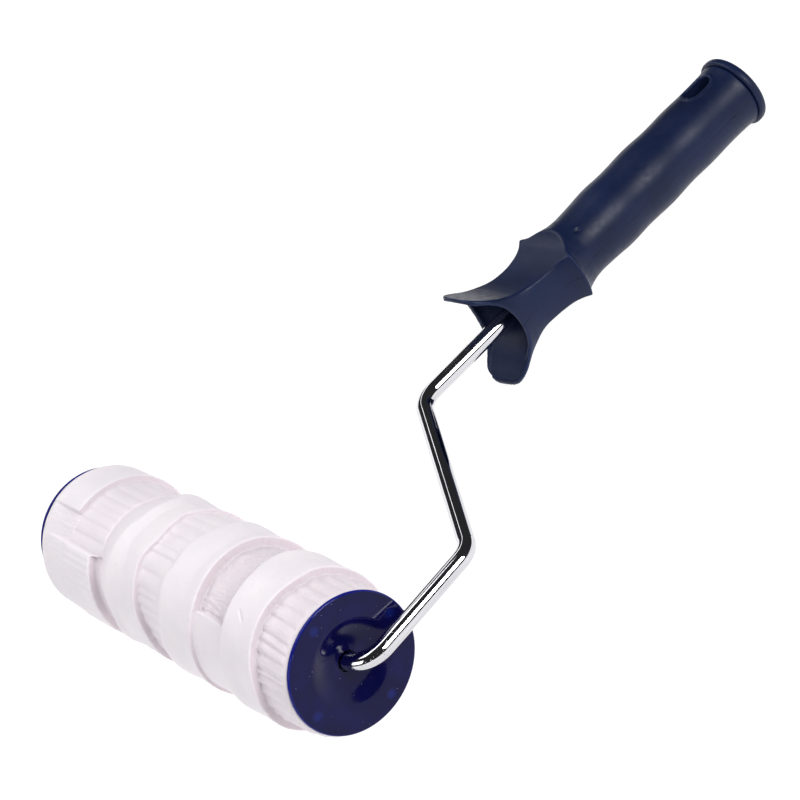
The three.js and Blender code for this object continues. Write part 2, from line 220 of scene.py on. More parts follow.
def grid_faces(rows, columns, closed_rows=True, closed_columns=True):
    """Quads over a grid of points counted row by row. Closed ways join the last to the first."""
    row_count = rows if closed_rows else rows - 1
    column_count = columns if closed_columns else columns - 1
    row, column = np.meshgrid(np.arange(row_count), np.arange(column_count), indexing="ij")
    up, right = (row + 1) % rows, (column + 1) % columns
    corners = [(row, column), (up, column), (up, right), (row, right)]
    return np.stack([r * columns + c for r, c in corners], -1).reshape(-1, 4)


def eased(outline, radius, steps=3):
    """A closed outline with each of its corners rounded, as far as its edges allow."""
    points = np.array(outline, float)
    rounded = []
    for before, corner, after in zip(np.roll(points, 1, 0), points, np.roll(points, -1, 0)):
        if corner[1] == 0:
            rounded.append(corner)
            continue
        back, ahead = before - corner, after - corner
        reach = min(radius, 0.45 * np.linalg.norm(back), 0.45 * np.linalg.norm(ahead))
        start = corner + back / np.linalg.norm(back) * reach
        end = corner + ahead / np.linalg.norm(ahead) * reach
        for t in np.linspace(0, 1, steps + 1):
            rounded.append((1 - t) ** 2 * start + 2 * t * (1 - t) * corner + t * t * end)
    return np.array(rounded)


def turned(outline, sides, wave=None):
    """Points and faces of a closed [along, radius] outline turned about the X axis."""
    outline = np.array(outline, float)
    place, radius = outline.T
    area = np.sum(place * np.roll(radius, -1) - np.roll(place, -1) * radius)
    if area > 0:
        outline = outline[::-1]
        place, radius = outline.T
    angle = np.arange(sides) * 2 * math.pi / sides
    reach = np.broadcast_to(radius, (sides, len(radius)))
    if wave is not None:
        reach = wave(angle[:, None], place[None, :], reach)
    x = np.broadcast_to(place, reach.shape)
    points = np.stack([x, reach * np.cos(angle)[:, None], reach * np.sin(angle)[:, None]], -1)
    return points.reshape(-1, 3), grid_faces(sides, len(place))


def meet(a, b, radius):
    """The field of what two solids share, with the edge between them rounded."""
    over = np.hypot(np.maximum(radius + a, 0), np.maximum(radius + b, 0))
    return np.minimum(-radius, np.maximum(a, b)) + over


def join(a, b, radius):
    """The field of two solids together, with a fillet between them."""
    return -meet(-a, -b, radius)


def surface_net(field, low, high, cell):
    """Points and quads on the zero surface of a field, negative inside, drawn within a box."""
    low = np.array(low, float)
    counts = np.ceil((np.array(high) - low) / cell).astype(int) + 1
    steps = np.stack(np.meshgrid(*map(np.arange, counts), indexing="ij"), -1)
    values = field((low + steps.reshape(-1, 3) * cell)).reshape(counts)
    cells = counts - 1
    number = np.zeros(cells.prod())
    total = np.zeros((cells.prod(), 3))
    quads = []
    for axis in range(3):
        here = np.take(values, np.arange(counts[axis] - 1), axis)
        ahead = np.take(values, np.arange(1, counts[axis]), axis)
        index = np.argwhere((here < 0) != (ahead < 0))
        first, second = here[tuple(index.T)], ahead[tuple(index.T)]
        crossing = index.astype(float)
        crossing[:, axis] += first / (first - second)
        side, other = (axis + 1) % 3, (axis + 2) % 3
        corners = []
        for back_side, back_other in ((0, 0), (1, 0), (1, 1), (0, 1)):
            owner = index.copy()
            owner[:, side] -= back_side
            owner[:, other] -= back_other
            flat = np.ravel_multi_index(owner.T, cells)
            number += np.bincount(flat, minlength=len(number))
            for k in range(3):
                total[:, k] += np.bincount(flat, crossing[:, k], minlength=len(number))
            corners.append(flat)
        quad = np.stack(corners, -1)
        quad[first >= 0] = quad[first >= 0][:, ::-1]
        quads.append(quad)
    used = number > 0
    label = np.cumsum(used) - 1
    points = low + total[used] / number[used, None] * cell
    faces = label[np.concatenate(quads)]
    for relax in (0.5, 0.5, 0):
        points = settle(points, field, cell)
        if relax:
            points += relax * (neighbour_average(points, faces) - points)
    return settle(points, field, cell), faces


def settle(points, field, cell):
    """Points moved on to the zero surface of a field."""
    step = cell * 0.02
    for _ in range(3):
        value = field(points)
        slope = np.stack([
            (field(points + step * way) - field(points - step * way)) / (2 * step) for way in np.eye(3)
        ], -1)
        move = value[:, None] * slope / (np.sum(slope**2, -1, keepdims=True) + 1e-6)
        length = np.linalg.norm(move, axis=-1, keepdims=True)
        points = points - move * np.minimum(1, 0.5 * cell / np.maximum(length, 1e-9))
    return points


def neighbour_average(points, faces):
    """For each point, the mean place of the points that share an edge with it."""
    start = faces.ravel()
    end = np.roll(faces, -1, 1).ravel()
    count = np.bincount(start, minlength=len(points)) + np.bincount(end, minlength=len(points))
    mean = np.empty_like(points)
    for k in range(3):
        sums = np.bincount(start, points[end, k], minlength=len(points))
        sums += np.bincount(end, points[start, k], minlength=len(points))
        mean[:, k] = sums / np.maximum(count, 1)
    return mean


# ---------- materials ----------


class Finish:
    """A Principled material, and short calls for the nodes that give it grain, wear and colour."""

    def __init__(self, name, colour, roughness, **sockets):
        self.material = bpy.data.materials.new(name)
        self.material.use_nodes = True
        self.nodes = self.material.node_tree.nodes
        self.links = self.material.node_tree.links
        self.shader = self.nodes["Principled BSDF"]
        self.place = self.nodes.new("ShaderNodeTexCoord").outputs["Object"]
        self.normal = None
        self.set("Base Color", (*colour, 1))
        self.set("Roughness", roughness)
        for socket, value in sockets.items():
            self.set(socket.replace("_", " "), value)

    def set(self, socket, value):
        if isinstance(value, bpy.types.NodeSocket):
            self.links.new(value, self.shader.inputs[socket])
        else:
            self.shader.inputs[socket].default_value = value

    def node(self, kind, inputs, output=0, **settings):
        made = self.nodes.new(kind)
        for name, value in settings.items():
            setattr(made, name, value)
        for name, value in inputs.items():
            if isinstance(value, bpy.types.NodeSocket):
                self.links.new(value, made.inputs[name])
            else:
                made.inputs[name].default_value = value
        return made.outputs[output]

    def attribute(self, name):
        return self.node("ShaderNodeAttribute", {}, "Fac", attribute_name=name)

    def noise(self, size, detail=3, stretch=(1, 1, 1), roughness=0.55):
        """Cloudy heights round 0.5, with features of that size in millimetres."""
        stretched = self.node("ShaderNodeMapping", {"Vector": self.place, "Scale": stretch})
        return self.node("ShaderNodeTexNoise", {
            "Vector": stretched, "Scale": 1 / (size * MM), "Detail": detail, "Roughness": roughness})

    def cells(self, size, feature="F1"):
        return self.node("ShaderNodeTexVoronoi", {"Vector": self.place, "Scale": 1 / (size * MM)},
                         "Distance", feature=feature)

    def between(self, value, low, high, start=0.0, end=1.0):
        """value taken from the range low to high on to the range start to end, and kept in it."""
        return self.node("ShaderNodeMapRange", {
            "Value": value, "From Min": low, "From Max": high, "To Min": start, "To Max": end})

    def math(self, operation, a, b=0.0):
        return self.node("ShaderNodeMath", {0: a, 1: b}, operation=operation)

    def mix(self, share, first, second):
        """One colour turning into another."""
        made = self.nodes.new("ShaderNodeMix")
        made.data_type = "RGBA"
        self.links.new(share, made.inputs[0])
        for index, colour in ((6, first), (7, second)):
            if isinstance(colour, bpy.types.NodeSocket):
                self.links.new(colour, made.inputs[index])
            else:
                made.inputs[index].default_value = (*colour, 1)
        return made.outputs[2]

    def bump(self, height, depth, strength=1.0):
        """Adds fine relief of that depth in millimetres on top of what is there."""
        inputs = {"Height": height, "Distance": depth * MM, "Strength": strength}
        if self.normal is not None:
            inputs["Normal"] = self.normal
        self.normal = self.node("ShaderNodeBump", inputs)
        self.set("Normal", self.normal)


def sleeve_rubber():
    """Off-white moulded rubber: chalky and faintly rosy, with grey specks, and painted shade that greys
    its low places and the walls between its strips.
    """
    rubber = Finish("sleeve_rubber", linear(238, 231, 235), 0.62, Subsurface_Weight=0.12,
                    Subsurface_Radius=(0.9, 0.7, 0.7), Subsurface_Scale=0.0018,
                    Specular_IOR_Level=0.35)
    cloud = rubber.between(rubber.noise(26, 3), 0.35, 0.65)
    tone = rubber.mix(cloud, linear(244, 237, 242), linear(237, 231, 237))
    # Painted shade: the lower the skin lies, the greyer it is painted, standing in for shade in the
    # hollows.
    low = rubber.between(rubber.attribute("height"), 30.0, 34.5, 0.55, 0.0)
    tone = rubber.mix(low, tone, linear(222, 211, 217))
    # Painted shade on the walls between strips, darker the taller the wall.
    cut = rubber.attribute("cliff")
    tone = rubber.mix(rubber.math("MULTIPLY", cut, 0.55), tone, linear(206, 190, 196))
    specks = rubber.between(rubber.noise(1.1, 2), 0.70, 0.76, 0.0, 0.45)
    tone = rubber.mix(specks, tone, linear(190, 178, 186))
    rubber.set("Base Color", tone)
    rubber.set("Roughness", rubber.between(rubber.noise(6, 3), 0.35, 0.65, 0.54, 0.7))
    rubber.bump(rubber.noise(0.7, 4, roughness=0.7), 0.09, 0.8)
    curls = rubber.math("ABSOLUTE", rubber.math("SUBTRACT", rubber.noise(1.5, 2), 0.5))
    stone = rubber.math("MULTIPLY", curls, rubber.attribute("stone"))
    rubber.bump(stone, 1.3, 0.85)
    return rubber.material


def cap_plastic():
    """Glossy navy plastic with fine dust, smears and paler ejector marks, and a painted highlight on its
    rounded rim.
    """
    navy = linear(10, 9, 58)
    plastic = Finish("cap_plastic", navy, 0.12, IOR=1.46, Specular_IOR_Level=0.16,
                     Coat_Weight=0.06, Coat_Roughness=0.04)
    cloud = plastic.between(plastic.noise(16, 3), 0.38, 0.62)
    tone = plastic.mix(cloud, linear(8, 8, 54), linear(13, 12, 66))
    tone = plastic.mix(plastic.attribute("mark"), tone, linear(17, 26, 92))
    # Painted highlight: the rounded rim is painted paler blue.
    tone = plastic.mix(plastic.attribute("edge"), tone, linear(24, 30, 122))
    dust = plastic.between(plastic.cells(2.6), 0.05, 0.035, 0.0, 0.8)
    tone = plastic.mix(dust, tone, linear(170, 170, 196))
    plastic.set("Base Color", tone)
    smear = plastic.between(plastic.noise(9, 4), 0.4, 0.7, 0.09, 0.2)
    plastic.set("Roughness", smear)
    plastic.bump(plastic.noise(3.2, 3), 0.012)
    plastic.bump(dust, 0.02)
    return plastic.material


def grip_plastic():
    """Satin dark navy polypropylene with a fine leathery grain and scuffs, and painted highlights along
    its sharp edges.
    """
    navy = linear(17, 27, 56)
    plastic = Finish("grip_plastic", navy, 0.42, IOR=1.49, Specular_IOR_Level=0.2)
    cloud = plastic.between(plastic.noise(30, 4), 0.35, 0.68)
    tone = plastic.mix(cloud, linear(14, 24, 52), linear(21, 32, 64))
    scuff = plastic.between(plastic.noise(5, 5, (1, 0.25, 1), 0.7), 0.62, 0.8, 0.0, 0.3)
    tone = plastic.mix(scuff, tone, linear(48, 58, 92))
    # Painted highlight: sharp edges, found by pointiness, are painted paler blue.
    edge_highlight_pointiness = plastic.node("ShaderNodeNewGeometry", {}, "Pointiness")
    tone = plastic.mix(plastic.between(edge_highlight_pointiness, 0.53, 0.62, 0.0, 0.55), tone, linear(48, 72, 124))
    plastic.set("Base Color", tone)
    worn = plastic.between(plastic.noise(3, 4), 0.35, 0.7, 0.34, 0.46)
    plastic.set("Roughness", worn)
    plastic.bump(plastic.noise(0.55, 3, roughness=0.65), 0.03, 0.7)
    plastic.bump(plastic.noise(4.5, 2, (1, 0.4, 1)), 0.05, 0.8)
    return plastic.material


def rod_chrome():
    """Bright chrome plate: drawn lines along the rod, a light haze, and pits in the first bend."""
    chrome = Finish("rod_chrome", (0.68, 0.68, 0.7), 0.06, Metallic=1.0)
    around = chrome.attribute("around")
    along = chrome.attribute("along")
    lines = chrome.node("ShaderNodeCombineXYZ", {"X": chrome.math("MULTIPLY", along, 0.02), "Y": around})
    drawn = chrome.node("ShaderNodeTexNoise", {"Vector": lines, "Scale": 2.2, "Detail": 3})
    haze = chrome.between(chrome.noise(9, 4), 0.45, 0.75, 0.04, 0.13)
    chrome.set("Roughness", haze)
    tone = chrome.mix(chrome.between(drawn, 0.35, 0.7), (0.71, 0.7, 0.73), (0.58, 0.58, 0.61))
    pits = chrome.between(chrome.noise(0.9, 3), 0.66, 0.72)
    worn = chrome.math("MULTIPLY", pits, chrome.attribute("bend_wear"))
    tone = chrome.mix(worn, tone, (0.16, 0.15, 0.15))
    chrome.set("Base Color", tone)
    chrome.bump(drawn, 0.012, 0.6)
    chrome.bump(chrome.math("MULTIPLY", worn, -1), 0.12)
    return chrome.material


def zinc_steel():
    """Zinc plated steel: a dull bluish grey with spangled patches."""
    steel = Finish("zinc_steel", linear(168, 170, 174), 0.34, Metallic=1.0)
    patches = steel.cells(1.6)
    tone = steel.mix(steel.between(patches, 0.1, 0.8), linear(186, 188, 192), linear(140, 142, 148))
    steel.set("Base Color", tone)
    steel.set("Roughness", steel.between(steel.noise(2.5, 4), 0.35, 0.7, 0.26, 0.5))
    steel.bump(steel.noise(0.5, 3), 0.012)
    return steel.material


def core_plastic():
    """Grey extruded plastic with faint lengthwise draw lines."""
    plastic = Finish("core_plastic", linear(140, 143, 148), 0.55)
    lines = plastic.noise(1.2, 3, (0.05, 1, 1))
    tone = plastic.mix(plastic.between(lines, 0.35, 0.65), linear(134, 137, 143), linear(150, 152, 156))
    plastic.set("Base Color", tone)
    plastic.bump(lines, 0.03)
    return plastic.material


def bush_nylon():
    """Black nylon with a greasy unevenness."""
    nylon = Finish("bush_nylon", linear(24, 24, 27), 0.45)
    tone = nylon.mix(nylon.between(nylon.noise(4, 3), 0.35, 0.65), linear(20, 20, 23), linear(34, 34, 38))
    nylon.set("Base Color", tone)
    nylon.set("Roughness", nylon.between(nylon.noise(3, 4), 0.35, 0.65, 0.32, 0.55))
    nylon.bump(nylon.noise(0.8, 3), 0.02)
    return nylon.material


CHROME = rod_chrome()
ZINC = zinc_steel()
GRIP = grip_plastic()
CAP = cap_plastic()
RUBBER = sleeve_rubber()
CORE = core_plastic()
NYLON = bush_nylon()

# ---------- the cranked rod ----------


def rounded_path(corners, radii, straight_step=3.0, bend_steps=24):
    """Points in the tool's plane along straight runs that are joined by round bends."""
    corners = np.array(corners)
    stops = [corners[0]]
    pieces = []
    for before, corner, after, radius in zip(corners, corners[1:], corners[2:], radii):
        back = (before - corner) / np.linalg.norm(before - corner)
        ahead = (after - corner) / np.linalg.norm(after - corner)
        half = math.acos(np.clip(back @ ahead, -1, 1)) / 2
        middle = (back + ahead) / np.linalg.norm(back + ahead)
        centre = corner + middle * radius / math.sin(half)
        start = corner + back * radius / math.tan(half)
        side = np.sign(back[0] * ahead[1] - back[1] * ahead[0])
        angles = -side * (math.pi - 2 * half) * np.linspace(0, 1, bend_steps + 1)
        arm = start - centre
        bend = np.stack([
            centre[0] + arm[0] * np.cos(angles) - arm[1] * np.sin(angles),
            centre[1] + arm[0] * np.sin(angles) + arm[1] * np.cos(angles),
        ], -1)
        pieces += [straight(stops[-1], start, straight_step), bend]
        stops.append(bend[-1])
    pieces.append(straight(stops[-1], corners[-1], straight_step))
    points = np.concatenate([run[:-1] for run in pieces] + [corners[-1:]])
    return np.column_stack([points, np.zeros(len(points))])


def straight(start, end, step):
    count = max(2, int(np.linalg.norm(end - start) / step))
    return start + (end - start) * np.linspace(0, 1, count + 1)[:, None]


def sweep(path, radii, sides):
    """Points and faces of a round bar along a path, with round radii and a flat cap at each end."""
    forward = np.gradient(path, axis=0)
    forward /= np.linalg.norm(forward, axis=1, keepdims=True)
    up = np.array([0.0, 0.0, 1.0])
    side = np.cross(forward, up)
    angle = np.arange(sides) * 2 * math.pi / sides
    rings = (path[:, None]
             + (radii[:, None] * np.cos(angle))[..., None] * side[:, None]
             + (radii[:, None] * np.sin(angle))[..., None] * up)
    points = rings.reshape(-1, 3)
    faces = grid_faces(len(path), sides, closed_rows=False)[:, ::-1].tolist()
    faces.append(list(range(sides))[::-1])
    faces.append(list(range(len(points) - sides, len(points))))
    return points, faces


def frame_rod():
    path = rounded_path(ROD_CORNERS, BEND_RADII)
    forward = path[1] - path[0]
    forward /= np.linalg.norm(forward)
    # The first end is chamfered: two short steps are put in front of the first full section.
    path = np.concatenate([[path[0], path[0] + forward * 0.25, path[0] + forward * 0.8], path[1:]])
    radii = np.full(len(path), ROD_RADIUS)
    radii[:3] = [ROD_RADIUS - 0.8, ROD_RADIUS - 0.4, ROD_RADIUS]
    radii[-1] = ROD_RADIUS - 0.5
    sides = 48
    points, faces = sweep(path, radii, sides)
    length = np.concatenate([[0], np.cumsum(np.linalg.norm(np.diff(path, axis=0), axis=1))])
    bend_start = ROD_CORNERS[1][0] - ROD_CORNERS[0][0] - 11
    wear = np.exp(-((length - bend_start - 14) / 9) ** 2)
    around = np.tile(np.abs(np.arange(sides) / sides - 0.5) * 2 * math.pi * ROD_RADIUS, len(path))
    piece("rod_visual", points, faces, CHROME, "frame", "chrome_rod", ["frame_rod"], {
        "along": np.repeat(length, sides), "around": around, "bend_wear": np.repeat(wear, sides)}, 40)


# ---------- what holds the roller on the rod ----------


def ring(start, end, inner, outer):
    return [[start, inner], [end, inner], [end, outer], [start, outer]]


def retainers():
    """The washers, the collar pressed on the rod, and the push nut on its end."""
    inner_x = FAR_FACE_X + HUB_LENGTH + WASHER_PLAY
    inner = turned(eased(ring(inner_x, inner_x + INNER_WASHER_THICKNESS, ON_ROD, WASHER_RADIUS), 0.2), 96)
    piece("inner_washer_visual", *inner, ZINC, "frame", "zinc_steel", ["inner_thrust_washer"])

    collar_x = inner_x + INNER_WASHER_THICKNESS + FIT_GAP
    collar_end_x = collar_x + COLLAR_LENGTH
    collar_outline = [[collar_x, ON_ROD], [collar_end_x, ON_ROD], [collar_end_x, COLLAR_RADIUS - 0.6],
                      [collar_end_x - 0.6, COLLAR_RADIUS], [collar_x, COLLAR_RADIUS]]
    collar = turned(eased(collar_outline, 0.25), 96)
    piece("stop_collar_visual", *collar, ZINC, "frame", "zinc_steel", ["stop_collar"])

    outer_x = FAR_FACE_X + DISH_DEPTH - WASHER_PLAY
    outer = turned(eased(ring(outer_x - OUTER_WASHER_THICKNESS, outer_x, ON_ROD, WASHER_RADIUS), 0.2), 96)
    piece("outer_washer_visual", *outer, ZINC, "frame", "zinc_steel", ["outer_thrust_washer"])

    nut_x = outer_x - OUTER_WASHER_THICKNESS - FIT_GAP
    nut_outline = [
        [FAR_FACE_X + 0.7, 0], [FAR_FACE_X + 0.7, ON_ROD], [nut_x, ON_ROD], [nut_x, NUT_RADIUS],
        [nut_x - 0.6, NUT_RADIUS], [nut_x - 0.9, 5.6], [FAR_FACE_X + 0.8, 5.1], [FAR_FACE_X + 0.3, 3.6],
        [FAR_FACE_X + 0.1, 0],
    ]

    def toothed(angle, place, reach):
        notch = np.clip(np.cos(6 * angle) * 4 - 3, 0, 1)
        return reach - 0.7 * notch * (reach > 6.2)

    piece("push_nut_visual", *turned(eased(nut_outline, 0.3), 120, toothed), ZINC, "frame",
          "zinc_steel", ["push_nut"])


# ---------- end caps, bushes and core tube ----------


def cap_outline():
    """The cap by depth below its outer face: flat rim, round dish, spigot and hub."""
    spigot = CORE_INNER - FIT_GAP
    dish_foot = HUB_OUTER - 0.8
    t = np.linspace(0, 1, 22)
    dish = np.stack([DISH_DEPTH * np.sin(t * math.pi / 2) ** 1.4,
                     DISH_RADIUS + (dish_foot - DISH_RADIUS) * t], -1)
    rim_radius = np.linspace(DISH_RADIUS + 0.4, CAP_RADIUS - 0.9, 26)
    flat_rim = np.stack([np.zeros(26), rim_radius], -1)
    inner = [
        [CAP_FLANGE, CAP_RADIUS], [CAP_FLANGE, spigot], [SPIGOT_LENGTH, spigot],
        [SPIGOT_LENGTH, spigot - CAP_WALL], [CAP_FLANGE + 0.2, spigot - CAP_WALL],
        [DISH_DEPTH + CAP_WALL, HUB_OUTER + 4], [DISH_DEPTH + CAP_WALL, HUB_OUTER],
        [HUB_LENGTH, HUB_OUTER], [HUB_LENGTH, BUSH_OUTER + FIT_GAP],
        [DISH_DEPTH + CAP_WALL, BUSH_OUTER + FIT_GAP], [DISH_DEPTH + CAP_WALL, HUB_HOLE],
    ]
    quarter = np.linspace(0, math.pi / 2, 6)[1:]
    round_edge = np.stack([0.9 - 0.9 * np.cos(quarter), CAP_RADIUS - 0.9 + 0.9 * np.sin(quarter)], -1)
    front = np.concatenate([[[DISH_DEPTH, HUB_HOLE]], dish[::-1], flat_rim, round_edge])
    return eased(np.concatenate([front, inner]), 0.25, 2)


def end_cap(name, node, near):
    """One cap. Its outer face shows four round ejector marks, slightly sunk and paler."""
    outline = cap_outline()
    face_x, inwards = (NEAR_FACE_X, -1) if near else (FAR_FACE_X, 1)
    outline[:, 0] = face_x + inwards * outline[:, 0]
    points, faces = turned(outline, 256)
    depth = np.abs(points[:, 0] - face_x)
    radius = np.hypot(points[:, 1], points[:, 2])
    mark = np.zeros(len(points))
    mark_circle, mark_radius = 25.5, 2.7
    for angle in np.radians([11, 102, 193, 283]):
        away = np.hypot(points[:, 1] - mark_circle * math.cos(angle),
                        points[:, 2] - mark_circle * math.sin(angle))
        mark += np.clip((mark_radius - away) / 1.6, 0, 1)
    mark *= depth < 0.1
    points[:, 0] += inwards * 0.12 * mark
    # The rounded rim, which the cap's finish paints paler as a painted highlight.
    edge = np.clip((radius - CAP_RADIUS + 0.8) / 0.6, 0, 1)
    piece(name, points, faces, CAP, "roller", "cap_plastic", [node], {"mark": mark, "edge": edge}, 50)


def roller_inside():
    """The core tube and the two bushes in the hubs of the caps."""
    tube = turned(eased(ring(FAR_X, NEAR_X, CORE_INNER, CORE_OUTER), 0.3), 160)
    piece("core_tube_visual", *tube, CORE, "roller", "core_plastic", ["core_tube"])
    start, end = DISH_DEPTH + CAP_WALL + FIT_GAP, HUB_LENGTH - FIT_GAP
    near = ("near", NEAR_FACE_X - end, NEAR_FACE_X - start)
    far = ("far", FAR_FACE_X + start, FAR_FACE_X + end)
    for side, low, high in (near, far):
        bush = turned(eased(ring(low, high, BUSH_INNER, BUSH_OUTER), 0.35), 96)
        piece(f"{side}_bush_visual", *bush, NYLON, "roller", "bush_nylon", [f"{side}_bush"])


# ---------- the textured sleeve ----------

ROWS = 468
SHOULDER = 0.35
angles = np.arange(ROWS) * 360 / ROWS
eccentric = OFF_CENTRE * np.cos(np.radians(angles - THICK_SIDE))


def around(pairs):
    """A smooth line round the sleeve through [angle, value] pairs, closed on itself."""
    first, last = pairs[0], pairs[-1]
    closed = [[last[0] - 360, last[1]], *pairs, [first[0] + 360, first[1]]]
    return smooth_curve(closed)(angles)


def stepped(pairs, blend=1.4):
    """A line round the sleeve that steps: each [angle, value] says the value from that angle on."""
    line = np.full(ROWS, float(pairs[-1][1]))
    before = pairs[-1][1]
    for start, value in pairs:
        t = np.clip((angles - start) / blend + 0.5, 0, 1)
        line += (value - before) * t * t * (3 - 2 * t)
        before = value
    return line


def skin_places(x):
    """Where the columns x of each row lie on the sleeve, for textures that close round it."""
    turned_by = np.radians(angles)[:, None]
    y, z = SKIN_RADIUS * np.cos(turned_by), SKIN_RADIUS * np.sin(turned_by)
    return np.stack([x, y + 0 * x, z + 0 * x], -1)


def grain(x):
    """The unevenness that all of the moulded skin has."""
    places = skin_places(x)
    return 0.13 * noise(places, 13, 1) + 0.05 * noise(places, 3.1, 2) + 0.025 * noise(places, 1.2, 3)


def stone(x, depth):
    """A crumbled, curly surface like rough stone."""
    places = skin_places(x)
    curls = np.abs(noise(places, 1.9, 4)) + 0.6 * np.abs(noise(places, 1.1, 5)) - 0.45
    return depth * (curls + 0.7 * noise(places, 5.5, 6))


def grooves(seen, seed):
    """Groove angles all round the sleeve: given ones first, then seeded steps to close the round."""
    random = np.random.default_rng(seed)
    places = list(seen)
    while places[-1] + 16 < seen[0] + 360:
        places.append(places[-1] + random.uniform(9, 15))
    return places


def flutes(left, right, depth, seed):
    """A texture of rounded flutes between grooves, which run from left angles to right ones."""
    count = len(left)
    turns = np.repeat([-360, 0, 360], count)
    index = np.arange(-count, 2 * count)
    at_left = np.interp(angles, np.tile(left, 3) + turns, index)[:, None]
    at_right = np.interp(angles, np.tile(right, 3) + turns, index)[:, None]
    crowns = depth * np.random.default_rng(seed).uniform(0.7, 1.15, count)

    def texture(x, u):
        phase = at_left * (1 - u) + at_right * u
        t = (phase % 1) ** 1.25
        crown = crowns[np.floor(phase).astype(int) % count]
        return crown * (1 - (2 * t - 1) ** 2) - 0.6 * depth

    return texture


def run(left, right, columns, texture=None, stony=0.0):
    """One strip of the sleeve between two lines (x, radius), with narrow shoulders at its edges."""
    (x0, r0), (x1, r1) = left, right
    width = x1 - x0
    shoulder = (SHOULDER / width)[:, None]
    inner = shoulder + (1 - 2 * shoulder) * np.linspace(0, 1, columns)
    u = np.hstack([np.zeros((ROWS, 1)), inner, np.ones((ROWS, 1))])
    x = x0[:, None] + width[:, None] * u
    r = (r0 + eccentric)[:, None] * (1 - u) + (r1 + eccentric)[:, None] * u + grain(x)
    if texture is not None:
        r = r + texture(x, u)
    return {"x": x, "r": r, "stone": np.broadcast_to(stony, (ROWS,))[:, None] + 0 * x, "cliff": 0 * x}


def joined(before, after):
    """A strip that goes on from the last without a step: its first column is the other's last."""
    for key in ("x", "r"):
        after[key][:, 0] = before[key][:, -1]
    return {key: values[:, 1:] for key, values in after.items()}


def cliff(before, after, columns, furrows=0.0, seed=0):
    """The wall between two strips, with furrows that run up and down it."""
    u = np.linspace(0, 1, columns + 2)[1:-1]
    top_x, top_r = before["x"][:, -1:], before["r"][:, -1:]
    foot_x, foot_r = after["x"][:, :1], after["r"][:, :1]
    places = skin_places(np.zeros((ROWS, 1)))
    ripple = noise(places, 1.3, seed) + 0.6 * noise(places, 4.0, seed + 1)
    x = top_x + (foot_x - top_x) * u + furrows * ripple * np.sin(u * math.pi) ** 0.5
    r = top_r + (foot_r - top_r) * u
    # How tall the wall is, which sets how much painted shade the rubber finish puts on it.
    tall = np.clip(np.abs(foot_r - top_r) / 2, 0, 1)
    return {"x": x, "r": r, "stone": 0 * x, "cliff": tall + 0 * x}


def near_angle(centre, width):
    """1 at an angle of the sleeve, falling smoothly to 0 over that many degrees."""
    away = np.abs((angles - centre + 180) % 360 - 180)
    return np.exp(-((away / width) ** 2))


def span(start, end, blend=1.4):
    """1 between two angles and 0 elsewhere."""
    return stepped([[0, 0], [start, 1], [end, 0]], blend)


